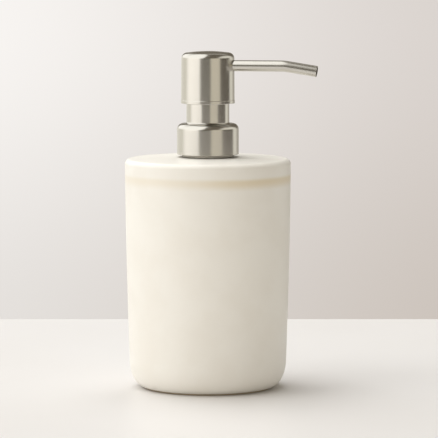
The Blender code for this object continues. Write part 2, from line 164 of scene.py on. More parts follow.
class Graph:
    """Adds nodes to one node tree."""

    def __init__(self, tree):
        self.tree = tree

    def node(self, kind, settings=None, inputs=None, output=0):
        """A new node's output. Settings are set first, then the inputs' values or links."""
        made = self.tree.nodes.new(kind)
        for name, value in (settings or {}).items():
            setattr(made, name, value)
        for key, value in (inputs or {}).items():
            self.feed(made.inputs[key], value)
        return Wire(self, made.outputs[output])

    def feed(self, socket, value):
        if isinstance(value, Wire):
            self.tree.links.new(value.socket, socket)
        else:
            socket.default_value = value

    def math(self, operation, *values):
        return self.node("ShaderNodeMath", {"operation": operation}, dict(enumerate(values)))

    def step(self, value, low, high):
        """0 below low, 1 above high, and a smooth rise between them."""
        return self.node(
            "ShaderNodeMapRange", {"interpolation_type": "SMOOTHSTEP"},
            {"Value": value, "From Min": low, "From Max": high},
        )

    def mix(self, factor, first, second):
        """A colour between two colours."""
        return self.node(
            "ShaderNodeMix", {"data_type": "RGBA"},
            {0: factor, 6: colour(first), 7: colour(second)}, output=2,
        )


def colour(value):
    """A colour for a socket: a wire as it is, and three numbers with an alpha of 1."""
    return value if isinstance(value, Wire) else (*value, 1.0)


def axes_of(graph, vector):
    """The X, Y and Z of a vector."""
    return [graph.node("ShaderNodeSeparateXYZ", None, {0: vector}, output=k) for k in range(3)]


def noise(graph, place, scale, detail=2.0):
    """Smooth random values from 0 to 1, with scale cells to the metre."""
    return graph.node(
        "ShaderNodeTexNoise", None, {"Vector": place, "Scale": scale, "Detail": detail}
    )


def srgb(red, green, blue):
    """Screen values from 0 to 255 as linear light."""
    return tuple(
        c / 12.92 if c <= 0.04045 else ((c + 0.055) / 1.055) ** 2.4
        for c in (red / 255, green / 255, blue / 255)
    )


# %% [markdown]
# ## Mesh operators
#
# The same few calls of the mesh operators come back in nearly every piece, so each is wrapped
# once: turn a shape, round some of its edges or corners, and put it in the scene.

# %% Mesh helpers
def turned(bm, angle, axis="Z"):
    """Turn a whole shape about an axis through the origin."""
    bmesh.ops.rotate(
        bm, verts=bm.verts, cent=(0, 0, 0), matrix=Matrix.Rotation(angle, 3, axis)
    )
    return bm


def rounded(bm, geometry, offset, segments=3, affect="EDGES"):
    """Round edges, or the corners of a wire or a face."""
    bmesh.ops.bevel(
        bm, geom=geometry, offset=offset, segments=segments, profile=0.5, affect=affect,
        material=-1,
    )
    return bm


def only(kind, items):
    """The vertices, edges or faces among an operator's results."""
    return [item for item in items if isinstance(item, kind)]


def block(size, place):
    """A box of a size, with its middle at place."""
    bm = bmesh.new()
    bmesh.ops.create_cube(bm, size=1.0)
    bmesh.ops.scale(bm, verts=bm.verts, vec=size)
    bmesh.ops.translate(bm, verts=bm.verts, vec=place)
    return bm


def upright_rod(radius, depth, segments):
    """A round rod along Z, with its middle at the origin."""
    bm = bmesh.new()
    bmesh.ops.create_cone(
        bm, cap_ends=True, segments=segments, radius1=radius, radius2=radius, depth=depth
    )
    return bm


def new_object(name, bm):
    """Put a shape in the scene."""
    mesh = bpy.data.meshes.new(name)
    bm.to_mesh(mesh)
    bm.free()
    made = bpy.data.objects.new(name, mesh)
    bpy.context.scene.collection.objects.link(made)
    return made


# %% [markdown]
# ## Table and light
#
# Steel shows what stands round it, so the room matters as much as the lamps. The bottle stands
# on a pale table top with a pale wall behind. A tall soft light fills the left, the side behind
# the camera is dark, a warm board stands on the right, and past it the room is dark again. The
# room is painted into the world's colour as upright bands, each with a soft edge, and above
# them hangs a light on the left whose edge leans.

# %% The table top
TABLE_BACK = 0.2766
TABLE_FRONT = 1.15
TABLE_HALF_WIDTH = 1.25
TABLE_THICKNESS = 0.03
TABLE_EDGE = 0.003
TABLE_LIGHT = (0.755, 0.733, 0.712)
TABLE_SHADE = (0.72, 0.694, 0.665)


def new_material(name):
    """A material, its graph, its shader and the point on the object."""
    material = bpy.data.materials.new(name)
    material.use_nodes = True
    graph = Graph(material.node_tree)
    shader = material.node_tree.nodes["Principled BSDF"]
    return material, graph, shader, graph.node("ShaderNodeTexCoord", output="Object")


def set_inputs(shader, graph, **values):
    """Feed shader inputs, whose names are given with _ for a space."""
    for name, value in values.items():
        graph.feed(shader.inputs[name.replace("_", " ")], value)


def table_finish():
    material, graph, shader, place = new_material("table_white")
    cloud = graph.step(noise(graph, place, 3.0, 4.0), 0.35, 0.75)
    set_inputs(
        shader, graph, Base_Color=graph.mix(cloud, TABLE_LIGHT, TABLE_SHADE), Roughness=0.45
    )
    return material


def make_table():
    size = (2 * TABLE_HALF_WIDTH, TABLE_BACK + TABLE_FRONT, TABLE_THICKNESS)
    bm = block(size, (0, (TABLE_BACK - TABLE_FRONT) / 2, -TABLE_THICKNESS / 2))
    table = new_object("table_top", turned(rounded(bm, bm.edges[:], TABLE_EDGE), TURN))
    table.data.materials.append(table_finish())


make_table()

# %% The room as bands of light
BRIGHT = (1.68, 1.63, 1.56)
PALE = (1.00, 0.97, 0.88)
SHADE = (0.225, 0.21, 0.18)
BOARD = (0.86, 0.80, 0.66)
GLOOM = (0.125, 0.105, 0.08)
DIM = (0.52, 0.49, 0.43)
# Where each band starts and how far its edge spreads, in degrees to the right of the camera
BANDS = (
    (-100, 14, BRIGHT), (-34, 6, SHADE), (12.5, 4, BOARD), (55, 5, GLOOM), (108, 5, PALE),
    (134, 8, DIM),
)
OVERHEAD_LEFT = (1.60, 1.59, 1.55)
OVERHEAD_RIGHT = (0.19, 0.165, 0.13)
OVERHEAD_BACK = (0.62, 0.60, 0.55)
# Where each overhead part begins and where it is full, as shares of a unit direction
LEFT_LIGHT_LEAN = 0.5
LEFT_LIGHT_EDGE = (-0.56, -0.50)
RIGHT_WALL_EDGE = (0.60, 0.80)
BACK_WALL_EDGE = (0.30, 0.55)
BACK_WALL_FOOT = (0.55, 0.80)
HORIZON_TILT = 0.12  # the bands stand higher towards the camera
HORIZON = (0.12, 0.30)
DIFFUSE_SHARE = 0.68  # how much of the painted light reaches matt surfaces
LAMP_AIM_HEIGHT = 0.06  # the middle of the jar
# The wall that the camera sees, shaded from left to right and darker at its foot
WALL_ACROSS = (-0.09, 0.09)
WALL_FOOT = (-0.135, -0.035)
WALL_LEFT = srgb(249, 246, 243)
WALL_RIGHT = srgb(217, 210, 205)
WALL_FOOT_LEFT = srgb(229, 225, 221)
WALL_FOOT_RIGHT = srgb(203, 194, 186)


def paint_room():
    world = bpy.data.worlds.new("room")
    bpy.context.scene.world = world
    world.use_nodes = True
    graph = Graph(world.node_tree)
    way = graph.node("ShaderNodeTexCoord", output="Generated")
    x, y, z = axes_of(graph, way)
    right = x * RIGHT.x + y * RIGHT.y
    towards = x * TOWARDS.x + y * TOWARDS.y
    round_to = graph.math("ARCTAN2", right, towards)
    light = PALE
    for start, softness, band in BANDS:
        edge = graph.step(round_to, radians(start - softness), radians(start + softness))
        light = graph.mix(edge, light, band)
    past_light = graph.step(right - z * LEFT_LIGHT_LEAN, *LEFT_LIGHT_EDGE)
    overhead = graph.mix(past_light, OVERHEAD_LEFT, OVERHEAD_RIGHT)
    overhead = graph.mix(graph.step(right, *RIGHT_WALL_EDGE), overhead, PALE)
    behind = graph.step(towards * -1, *BACK_WALL_EDGE) * graph.step(z, *BACK_WALL_FOOT)
    overhead = graph.mix(behind, overhead, OVERHEAD_BACK)
    above = graph.step(z - towards * HORIZON_TILT, *HORIZON)
    light = graph.mix(above, light, overhead)
    across = graph.step(right, *WALL_ACROSS)
    wall = graph.mix(across, WALL_LEFT, WALL_RIGHT)
    foot = graph.mix(across, WALL_FOOT_LEFT, WALL_FOOT_RIGHT)
    wall = graph.mix(graph.step(z, *WALL_FOOT), foot, wall)
    seen = graph.node("ShaderNodeLightPath", output="Is Camera Ray")
    matt = graph.node("ShaderNodeLightPath", output="Is Diffuse Ray")
    background = world.node_tree.nodes["Background"]
    graph.feed(background.inputs["Color"], graph.mix(seen, light, wall))
    graph.feed(background.inputs["Strength"], 1 - matt * (1 - DIFFUSE_SHARE))


def add_soft_light(name, place, size, watts, tint):
    """A soft light that faces the middle of the jar and isn't mirrored in the steel."""
    data = bpy.data.lights.new(name, "AREA")
    data.shape = "RECTANGLE"
    data.size, data.size_y = size
    data.energy = watts
    data.color = tint
    lamp = bpy.data.objects.new(name, data)
    bpy.context.scene.collection.objects.link(lamp)
    right, towards, up = place
    lamp.location = RIGHT * right + TOWARDS * towards + Vector((0, 0, up))
    aim = Vector((0, 0, LAMP_AIM_HEIGHT)) - lamp.location
    lamp.rotation_euler = aim.to_track_quat("-Z", "Y").to_euler()
    lamp.visible_glossy = False


paint_room()
add_soft_light("key", (-1.1, 0.4, 1.2), (1.0, 1.0), 5.5, (0.97, 0.985, 1.0))
add_soft_light("back", (-0.15, -0.42, 1.45), (1.1, 1.1), 17, (0.97, 0.98, 1.0))
add_soft_light("front", (0.0, 1.5, 0.18), (1.0, 0.5), 4.3, (1.0, 0.97, 0.92))

# %% [markdown]
# ## Turned pieces
#
# Nearly every piece of the bottle is round: the jar is cast in a turned mould, and the pump's
# pieces are drawn or moulded round. So each starts as the outline of half its section. Bevel
# rounds the outline's corners while it is still a wire, which needs no work on faces, and Spin
# then sweeps it round the axis. A shape that reaches the axis closes there when its doubles
# merge.


def outline(corners, steps=6):
    """A wire through (radius, height, fillet) corners, each rounded by its fillet."""
    bm = bmesh.new()
    points = [bm.verts.new((radius, 0, height)) for radius, height, _ in corners]
    for first, second in zip(points, points[1:]):
        bm.edges.new((first, second))
    if corners[0][0] > 0:  # it stands clear of the axis, so it is a closed loop
        bm.edges.new((points[-1], points[0]))
    for point, (_, _, fillet) in zip(points, corners):
        if fillet:
            rounded(bm, [point], fillet, steps, "VERTICES")
    return bm


def spun(bm, sides=96):
    """The outline swept once round the Z axis."""
    bmesh.ops.spin(
        bm, geom=bm.verts[:] + bm.edges[:], cent=(0, 0, 0), axis=(0, 0, 1),
        angle=2 * pi, steps=sides, use_merge=True,
    )
    bmesh.ops.remove_doubles(bm, verts=bm.verts, dist=MERGE)
    bmesh.ops.recalc_face_normals(bm, faces=bm.faces)
    return bm


def piece(name, shape, node, material, crease=40):
    """Finish a shape as the piece that stands for a node and moves with the node's body."""
    made = new_object(name, shape) if isinstance(shape, bmesh.types.BMesh) else shape
    made.name = name
    made.data.shade_smooth()
    made.data.set_sharp_from_angle(angle=radians(crease))
    made.data.materials.clear()
    made.data.materials.append(material)
    flats = made.modifiers.new("even_flats", "WEIGHTED_NORMAL")
    flats.keep_sharp = True
    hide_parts(node)
    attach(made, frame["nodes"][node]["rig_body"])
    print(name, "for", node, len(made.data.polygons), "faces")
    return made


# %% [markdown]
# ## Glaze
#
# The jar is dipped in a satin off-white glaze. Where the glaze pools and breaks near the rim it
# turns tan in a soft ring. The colour is worked out from the height of the point, so the ring
# is level, and a little noise moves its edges, as the flow of the glaze does. The ring is
# painted stronger on the spout's side, which is the shaded side: that part is painted shade.

# %% The glaze
GLAZE_WHITE = (0.825, 0.795, 0.73)
GLAZE_WARM = (0.805, 0.77, 0.70)
RING_TAN = (0.725, 0.635, 0.475)
RING_HEIGHT = top_of("bottle") - 0.0097
RING_ABOVE = 0.0022
RING_BELOW = 0.0050
RING_CORE = 0.0004  # half the height of the band where the ring is full
# The ring is painted darker towards the spout's side, which is the shaded side: painted shade
RING_ON_LIT_SIDE = 0.42  # its strength on the side away from the spout
RING_SHADE_ACROSS = (-0.010, 0.030)


def bump(graph, height, strength, distance):
    """A normal tilted by a pattern of heights, distance metres deep."""
    return graph.node(
        "ShaderNodeBump", None, {"Height": height, "Strength": strength, "Distance": distance}
    )


def make_glaze():
    material, graph, shader, place = new_material("satin_glaze")
    across, _, height = axes_of(graph, place)
    wander = noise(graph, place, 38.0) * (2 * RING_CORE)
    level = height + wander - (RING_HEIGHT + RING_CORE)
    below = graph.step(level, -RING_BELOW, -RING_CORE)
    above = graph.step(level, 0.0, RING_ABOVE)
    # Painted shade: the ring grows from its lit-side strength to full strength on the shaded,
    # spout's side
    strength = RING_ON_LIT_SIDE + (1 - RING_ON_LIT_SIDE) * graph.step(across, *RING_SHADE_ACROSS)
    ring = below * (1 - above) * strength
    cloud = noise(graph, place, 55.0, 4.0)
    body = graph.mix(graph.step(cloud, 0.35, 0.70), GLAZE_WHITE, GLAZE_WARM)
    tint = graph.mix(ring, body, RING_TAN)
    peel = noise(graph, place, 420.0, 3.0)
    set_inputs(
        shader, graph, Base_Color=tint, Roughness=0.40 + cloud * 0.06 - ring * 0.05,
        Normal=bump(graph, peel, 0.10, 0.00006), Coat_Roughness=0.30, Coat_Weight=0.15, IOR=1.5,
    )
    return material


GLAZE = make_glaze()

# %% [markdown]
# ## The jar
#
# Slip is poured into a plaster mould, left until a wall has set and poured out, so the jar has
# an even wall inside and out. The heel is a quarter ellipse, which gives the long soft curve of
# a cast foot, the wall opens slightly upwards, and the lid rises a little to the mouth.

# %% The jar
HEEL_CENTRE = 0.0318
HEEL_REACH = 0.0076
HEEL_HEIGHT = 0.0135
HEEL_TOP = 0.0141
RIM_TOP = top_of("bottle") - 0.0008
RIM_RADIUS = radius_of("bottle")
RIM_FILLET = 0.0026
MOUTH_RADIUS = 0.0122
CROWN_RADIUS = 0.0146  # where the lid levels out
CEILING = RIM_TOP - 0.0039
FLOOR = 0.0056
CAVITY_TOP_RADIUS = 0.0376
CAVITY_FOOT_RADIUS = 0.0360
PAD_RADIUS = radius_of("foot_pad") - 0.0010  # the pad stays back under the heel
PAD_TOP = top_of("foot_pad")


def heel(steps=20):
    """Quarter ellipse from beside the pad up into the wall."""
    start = asin((PAD_RADIUS + 2 * GAP - HEEL_CENTRE) / HEEL_REACH)
    angles = [start + (pi / 2 - start) * k / steps for k in range(steps + 1)]
    return [
        (HEEL_CENTRE + HEEL_REACH * sin(a), HEEL_TOP - HEEL_HEIGHT * cos(a), 0) for a in angles
    ]


def wall(steps=12, bow=0.0003):
    """Straight but for a slight bow, from the heel to just under the rim."""
    low = Vector((HEEL_CENTRE + HEEL_REACH, HEEL_TOP))
    high = Vector((RIM_RADIUS, RIM_TOP - 2 * RIM_FILLET))
    shares = [k / steps for k in range(1, steps + 1)]
    points = [(low.lerp(high, share), 4 * bow * share * (1 - share)) for share in shares]
    return [(point.x + out, point.y, 0) for point, out in points]


def crown(steps=12):
    """The lid rises from the rim and is level where it meets the flat round the mouth."""
    edge = RIM_RADIUS - 2 * RIM_FILLET
    shares = [k / steps for k in range(steps + 1)]
    rise = top_of("bottle") - RIM_TOP
    return [
        (edge + (CROWN_RADIUS - edge) * share, RIM_TOP + rise * (1 - (1 - share) ** 2), 0)
        for share in shares
    ]


def make_jar():
    seat = PAD_TOP + GAP
    foot = [(0, seat, 0), (PAD_RADIUS + GAP, seat, 0)]
    rim = [(RIM_RADIUS, RIM_TOP, RIM_FILLET)]
    mouth = [(MOUTH_RADIUS, top_of("bottle"), 0.0005)]
    cavity = [
        (MOUTH_RADIUS, CEILING, 0.0010), (CAVITY_TOP_RADIUS, CEILING, 0.0045),
        (CAVITY_FOOT_RADIUS, FLOOR, 0.0080), (0, FLOOR, 0),
    ]
    bm = outline(foot + heel() + wall() + rim + crown() + mouth + cavity, steps=10)
    piece("glazed_jar", spun(bm, 160), "bottle", GLAZE)


make_jar()

# %% [markdown]
# ## Rubber
#
# The pad under the jar is a brown rubber disc with shallow rings moulded in its underside. Its
# brown is matched to the thin dark line under the heel, which is partly contact shadow, so the
# pad's colour is partly painted shade. The seals are of softer, paler rubber. Both are matte,
# with a fine grain and paler dust where they rub, so one function makes both from two colours.

# %% Rubber
def make_rubber(name, clean, dusty):
    material, graph, shader, place = new_material(name)
    grain = noise(graph, place, 900.0, 5.0)
    dust = graph.step(noise(graph, place, 120.0, 3.0), 0.5, 0.8)
    set_inputs(
        shader, graph, Base_Color=graph.mix(dust * 0.6, clean, dusty),
        Roughness=0.72 + grain * 0.12, Normal=bump(graph, grain, 0.25, 0.00005),
    )
    return material


# The pad's brown is partly rubber and partly painted shade for the contact shadow under the heel
FOOT_RUBBER_AND_SHADE = make_rubber("foot_rubber", (0.42, 0.33, 0.22), (0.52, 0.42, 0.30))
SEAL_RUBBER = make_rubber("seal_rubber", (0.46, 0.46, 0.44), (0.60, 0.60, 0.57))


def ring_stack(inner, outer, foot, top, swell, count=3):
    """A ring whose outer wall has count round beads, as a seal that is squeezed in place."""
    step = (top - foot) / count
    corners = [(inner, top, swell / 2), (inner, foot, swell / 2)]
    for k in range(count):
        low = foot + k * step
        corners += [
            (outer - swell, low, 0), (outer, low + step * 0.25, swell / 2),
            (outer, low + step * 0.75, swell / 2),
        ]
    return outline(corners + [(outer - swell, top, 0)], steps=4)


# %% Pad and seals
def make_foot_pad():
    edge, groove, width = 0.0004, 0.0003, 0.0008
    corners = [(0, 0, 0)]
    for share in (0.45, 0.65, 0.85):
        middle = share * PAD_RADIUS
        corners += [
            (middle - width, 0, 0.0002), (middle - width / 2, groove, 0.0002),
            (middle + width / 2, groove, 0.0002), (middle + width, 0, 0.0002),
        ]
    corners += [(PAD_RADIUS, 0, edge), (PAD_RADIUS, PAD_TOP, edge / 2), (0, PAD_TOP, 0)]
    piece("rubber_foot", spun(outline(corners, 4), 128), "foot_pad", FOOT_RUBBER_AND_SHADE)


def make_seals():
    low, high = foot_of("mouth_seal"), top_of("mouth_seal")
    bonding = ring_stack(MOUTH_RADIUS - 0.0007, radius_of("mouth_seal"), low, high, 0.0002)
    piece("mouth_ring", spun(bonding), "mouth_seal", SEAL_RUBBER)
    low, high = foot_of("neck_gasket"), top_of("neck_gasket")
    inner, outer = 0.0086, radius_of("neck_gasket")
    edge = (high - low) / 3
    washer = [
        (inner, low, edge), (outer, low, edge), (outer, high, edge), (inner, high, edge),
    ]
    piece("neck_washer", spun(outline(washer, 4)), "neck_gasket", SEAL_RUBBER)


make_foot_pad()
make_seals()

# %% [markdown]
# ## Threads
#
# A jar thread is a low rounded ridge that runs up round the neck and dies away at both ends, so
# that the closure starts easily. One face, the ridge's section, is swept round in small turns
# that also climb. At each turn Scale pulls the section in a little, so near the ends it sinks
# into the neck. The ridge inside the cap keeps its full depth to its ends. Each is then joined
# to its wall with a Boolean, so that the two are one solid.

# %% Moulded thread
THREAD_PITCH = 0.004233
THREAD_STEPS = 40  # to the turn
MALE_ROOT, MALE_CREST, MALE_TURNS = 0.01265, 0.01370, 1.25
FEMALE_ROOT, FEMALE_CREST, FEMALE_TURNS = 0.01400, 0.01295, 1.75
MALE_START = top_of("bottle") + 0.0040
FEMALE_START = foot_of("closure_cap") + 0.0015


def thread_ridge(root, crest, start, turns, start_angle):
    bury = 0.0003 if crest < root else -0.0003
    sink = max(0, crest - root) * 1.2 / crest  # none for the ridge inside the cap
    bm = bmesh.new()
    wide, narrow = 0.00105, 0.00055
    section = [
        (root + bury, -wide), (crest, -narrow), (crest, narrow), (root + bury, wide),
    ]
    face = bm.faces.new([bm.verts.new((radius, 0, start + up)) for radius, up in section])
    turned(rounded(bm, face.verts[1:3], 0.0003, 3, "VERTICES"), start_angle)
    steps = round(turns * THREAD_STEPS)
    fade = THREAD_STEPS / 6  # the ridge rises over a sixth of a turn
    size = [1 - sink * max(0, 1 - k / fade, 1 - (steps - k) / fade) for k in range(steps + 1)]
    bmesh.ops.scale(bm, verts=bm.verts, vec=(size[0], size[0], 1))
    end = bm.faces[:] + bm.edges[:] + bm.verts[:]
    for before, after in zip(size, size[1:]):
        swept = bmesh.ops.spin(
            bm, geom=end, cent=(0, 0, 0), axis=(0, 0, 1), angle=2 * pi / THREAD_STEPS, steps=1,
            dvec=(0, 0, THREAD_PITCH / THREAD_STEPS),
        )
        end = swept["geom_last"]
        moved = only(bmesh.types.BMVert, end)
        bmesh.ops.scale(bm, verts=moved, vec=(after / before, after / before, 1))
    bmesh.ops.recalc_face_normals(bm, faces=bm.faces)
    return new_object("ridge", bm)


def combined(base, other, operation):
    """Join or cut one closed object with another, which is used up."""
    modifier = base.modifiers.new("combine", "BOOLEAN")
    modifier.operation = operation
    modifier.object = other
    modifier.solver = "EXACT"
    bpy.context.view_layer.update()
    graph = bpy.context.evaluated_depsgraph_get()
    merged = bpy.data.meshes.new_from_object(base.evaluated_get(graph))
    base.modifiers.clear()
    base.data = merged
    bpy.data.objects.remove(other, do_unlink=True)
    return base


# %% [markdown]
# ## Plastics
#
# Two kinds are moulded here. The neck and cap are a warm grey and slightly grained. The pump is
# natural polypropylene, which has no pigment and lets some light through. Its milky look comes
# from a little subsurface light, with clouds in the colour where the wall cooled unevenly.

# %% Moulded plastics
NECK_GREY = (0.55, 0.52, 0.46)
NECK_WORN = (0.62, 0.58, 0.52)


def make_neck_plastic():
    material, graph, shader, place = new_material("neck_plastic")
    grain = noise(graph, place, 1400.0, 4.0)
    wear = graph.step(noise(graph, place, 90.0, 3.0), 0.45, 0.75)
    set_inputs(
        shader, graph, Base_Color=graph.mix(wear, NECK_GREY, NECK_WORN),
        Roughness=0.42 + grain * 0.15, Normal=bump(graph, grain, 0.2, 0.00003),
    )
    return material


def make_natural_plastic(name, tint, cloud_tint):
    material, graph, shader, place = new_material(name)
    cloud = noise(graph, place, 160.0, 4.0)
    flow = noise(graph, place, 900.0, 3.0)
    set_inputs(
        shader, graph, Base_Color=graph.mix(graph.step(cloud, 0.35, 0.7), tint, cloud_tint),
        Roughness=0.34 + flow * 0.14, Normal=bump(graph, flow, 0.12, 0.00003),
        Subsurface_Weight=0.25, Subsurface_Scale=0.002,
    )
    return material


NECK_PLASTIC = make_neck_plastic()
PUMP_PLASTIC = make_natural_plastic("pump_plastic", (0.76, 0.76, 0.73), (0.70, 0.70, 0.66))
TUBE_PLASTIC = make_natural_plastic("tube_plastic", (0.80, 0.80, 0.77), (0.74, 0.75, 0.71))

# %% [markdown]
# ## Threaded neck and closure
#
# Ceramic can't hold a fine thread, so a moulded neck is bonded into the jar's mouth. Grooves
# round its skirt key into the bonding ring. The closure cap has the matching thread inside, and
# ribs outside that grip the drawn steel collar, which is pressed over it.

# %% Neck insert
def make_neck_insert():
    top = top_of("neck_insert")
    skirt_foot = foot_of("neck_insert")
    flange_foot = top_of("bottle") + GAP
    flange_top = top_of("bottle") + 0.00165
    bore, skirt, flange = 0.0100, 0.0112, 0.01305
    key_depth, key_width, key_pitch = 0.0003, 0.0010, 0.0018
    keys = []
    for k in range(3):
        low = skirt_foot + 0.0015 + key_pitch * k
        high = low + key_width
        keys += [(skirt, low, 0), (skirt - key_depth, low + key_depth, 0)]
        keys += [(skirt - key_depth, high - key_depth, 0), (skirt, high, 0)]
    corners = [(bore, skirt_foot, 0.0004), (skirt, skirt_foot, 0.0004)] + keys + [
        (skirt, flange_foot, 0), (flange, flange_foot, 0.0003), (flange, flange_top, 0.0003),
        (MALE_ROOT, flange_top, 0.0004), (MALE_ROOT, top, 0.0005), (bore, top, 0.0005),
    ]
    neck = new_object("neck", spun(outline(corners, 4)))
    ridge = thread_ridge(MALE_ROOT, MALE_CREST, MALE_START, MALE_TURNS, 0)
    piece("threaded_neck", combined(neck, ridge, "UNION"), "neck_insert", NECK_PLASTIC)


make_neck_insert()

# %% Closure cap
CAP_RIBS = 48


def make_closure_cap():
    foot, top, outer = foot_of("closure_cap"), top_of("closure_cap"), radius_of("closure_cap")
    ceiling, hole, shoulder = top - 0.0017, 0.0088, 0.0022
    rib_depth = 0.0002
    corners = [
        (FEMALE_ROOT, foot, 0), (outer, foot, 0.0002), (outer, top, shoulder),
        (hole, top, 0.0004), (hole, ceiling, 0), (FEMALE_ROOT, ceiling, 0.0006),
    ]
    bm = spun(outline(corners, 5), 4 * CAP_RIBS)
    for vert in bm.verts:
        radius = hypot(vert.co.x, vert.co.y)
        if radius < outer - rib_depth / 2 or vert.co.z > top - shoulder - rib_depth:
            continue
        inset = rib_depth * (0.5 - 0.5 * cos(CAP_RIBS * atan2(vert.co.y, vert.co.x)))
        vert.co.xy *= 1 - inset / radius
    cap = new_object("cap", bm)
    climbed = FEMALE_START - MALE_START - THREAD_PITCH / 2
    start_angle = 2 * pi * climbed / THREAD_PITCH
    ridge = thread_ridge(FEMALE_ROOT, FEMALE_CREST, FEMALE_START, FEMALE_TURNS, start_angle)
    piece("closure_liner", combined(cap, ridge, "UNION"), "closure_cap", NECK_PLASTIC)


make_closure_cap()

# %% [markdown]
# ## Satin steel
#
# The shells are drawn from stainless sheet and brushed while they turn, so the scratches run
# round the piece, too fine to see one by one. They blur what the steel reflects. The noise is
# stretched round the axis: it changes quickly with height and radius and slowly with the angle.
# The same noise moves the roughness and a very small bump.

# %% Satin steel
STEEL_TINT = (0.600, 0.580, 0.535)
STEEL_DEEP = (0.560, 0.540, 0.495)
BRUSH_ACROSS = 7000  # noise scale across the scratches, to the metre
BRUSH_ALONG = 250


def steel_shader(name, place_of, roughness):
    material, graph, shader, place = new_material(name)
    lines = noise(graph, place_of(graph, place), 1.0, 3.0)
    haze = noise(graph, place, 70.0, 3.0)
    set_inputs(
        shader, graph, Base_Color=graph.mix(lines * 0.5 + haze * 0.5, STEEL_TINT, STEEL_DEEP),
        Metallic=1.0, Roughness=roughness - 0.04 + lines * 0.05 + haze * 0.03,
        Normal=bump(graph, lines, 0.06, 0.00001),
    )
    return material


def round_the_axis(graph, place):
    """Coordinates whose noise is drawn out into circles round Z."""
    x, y, z = axes_of(graph, place)
    radius = graph.math("SQRT", x * x + y * y)
    angle = graph.math("ARCTAN2", y, x)
    return graph.node(
        "ShaderNodeCombineXYZ", None,
        {"X": radius * BRUSH_ACROSS, "Y": z * BRUSH_ACROSS, "Z": angle * 3},
    )


def along_the_tube(graph, place):
    """Coordinates whose noise is drawn out along X, the way the spout runs."""
    return graph.node(
        "ShaderNodeMapping", None,
        {"Vector": place, "Scale": (BRUSH_ALONG, BRUSH_ACROSS, BRUSH_ACROSS)},
    )


SHELL_STEEL = steel_shader("satin_steel_turned", round_the_axis, 0.21)
TUBE_STEEL = steel_shader("satin_steel_drawn", along_the_tube, 0.20)

# %% [markdown]
# ## Steel shells
#
# The collar and the head are drawn cups of half-millimetre sheet. Each free edge is rolled
# smooth, and a faint step runs round the head just above its edge, where the sheet was trimmed
# and pressed back. The outline goes up the outside and down the inside, so the wall is real.

# %% Collar
SHEET = 0.0005


def make_collar():
    foot, top, grip = foot_of("collar_shell"), top_of("collar_shell"), radius_of("collar_shell")
    shoulder, sleeve = foot + 0.0155, 0.01075
    corners = [
        (grip - SHEET, foot, 0.00024), (grip, foot, 0.00024), (grip, shoulder, 0.0030),
        (sleeve, shoulder, 0.0008), (sleeve, top, 0.00024), (sleeve - SHEET, top, 0.00024),
        (sleeve - SHEET, shoulder - SHEET, 0.0004), (grip - SHEET, shoulder - SHEET, 0.0025),
    ]
    piece("steel_collar", spun(outline(corners, 10), 128), "collar_shell", SHELL_STEEL)


make_collar()

# %% Head shell
SPOUT_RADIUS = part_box("spout_tube")[1].y
SPOUT_HEIGHT = top_of("spout_tube") - SPOUT_RADIUS
HEAD_FOOT = foot_of("head_shell")
HEAD_RADIUS = radius_of("head_shell")
HEAD_TOP_RADIUS = HEAD_RADIUS - 0.00025
HEAD_EDGE = top_of("head_shell") - 0.0008
SPOUT_PLAY = 0.00012  # round the spout where it passes through the shell


HEAD_RISE = 0.0007  # how far the top swells above its edge


def dome(radius, height, rise, steps=8):
    """Half of a shallow dome, from its edge in to the axis."""
    insets = [1 - k / steps for k in range(1, steps + 1)]
    return [(radius * inset, height + rise * (1 - inset ** 2), 0) for inset in insets]


def rod(radius, start, end):
    """A round rod along X at the height of the spout."""
    bm = turned(upright_rod(radius, end - start, 64), pi / 2, "Y")
    bmesh.ops.translate(bm, verts=bm.verts, vec=((start + end) / 2, 0, SPOUT_HEIGHT))
    return new_object("rod", bm)


def make_head_shell():
    lip, step, roll = 0.0015, 0.00012, 0.00022
    fillet = 0.0029
    flat = HEAD_TOP_RADIUS - fillet
    neck = HEAD_FOOT + lip + step
    corners = [
        (HEAD_RADIUS - SHEET, HEAD_FOOT, roll), (HEAD_RADIUS, HEAD_FOOT, roll),
        (HEAD_RADIUS, HEAD_FOOT + lip, 0.0001), (HEAD_RADIUS - step, neck, 0.0001),
        (HEAD_TOP_RADIUS, HEAD_EDGE, fillet), (flat - 0.0001, HEAD_EDGE + 0.00001, 0),
    ]
    corners += dome(flat - 0.0002, HEAD_EDGE + 0.00002, HEAD_RISE)
    under = dome(flat, HEAD_EDGE - SHEET, HEAD_RISE)
    corners += under[::-1]
    corners += [
        (HEAD_TOP_RADIUS - SHEET, HEAD_EDGE - SHEET, fillet - SHEET),
        (HEAD_RADIUS - SHEET - step, neck, 0),
    ]
    bm = spun(outline(corners, 10), 160)
    hole = rod(SPOUT_RADIUS + SPOUT_PLAY, HEAD_RADIUS - 0.004, HEAD_RADIUS + 0.002)
    shell = combined(new_object("shell", bm), hole, "DIFFERENCE")
    piece("steel_head", shell, "head_shell", SHELL_STEEL)


make_head_shell()

# %% [markdown]
# ## Spout
#
# The spout is a thin steel tube, bent down a little near its end so that the last drop falls
# clear. A plastic liner inside carries the liquid and stops short of the mouth. Each starts as
# two circles joined into a ring of faces, which Extrude takes straight out and Spin takes round
# the bend.

# %% Spout tube and liner
BEND_START = 0.0368
BEND_RADIUS = 0.0250
BEND_ANGLE = radians(9.0)
SPOUT_BORE = SPOUT_RADIUS - 0.0003
SPOUT_TIP = 0.0146  # straight part after the bend
LINER_RADIUS = SPOUT_RADIUS - 0.0006
LINER_BORE = SPOUT_RADIUS - 0.0013
LINER_TIP = 0.0121


def extruded(bm, geometry, move):
    """Extrude geometry by move and return its far end."""
    made = bmesh.ops.extrude_face_region(bm, geom=geometry)["geom"]
    bmesh.ops.translate(bm, verts=only(bmesh.types.BMVert, made), vec=move)
    return made


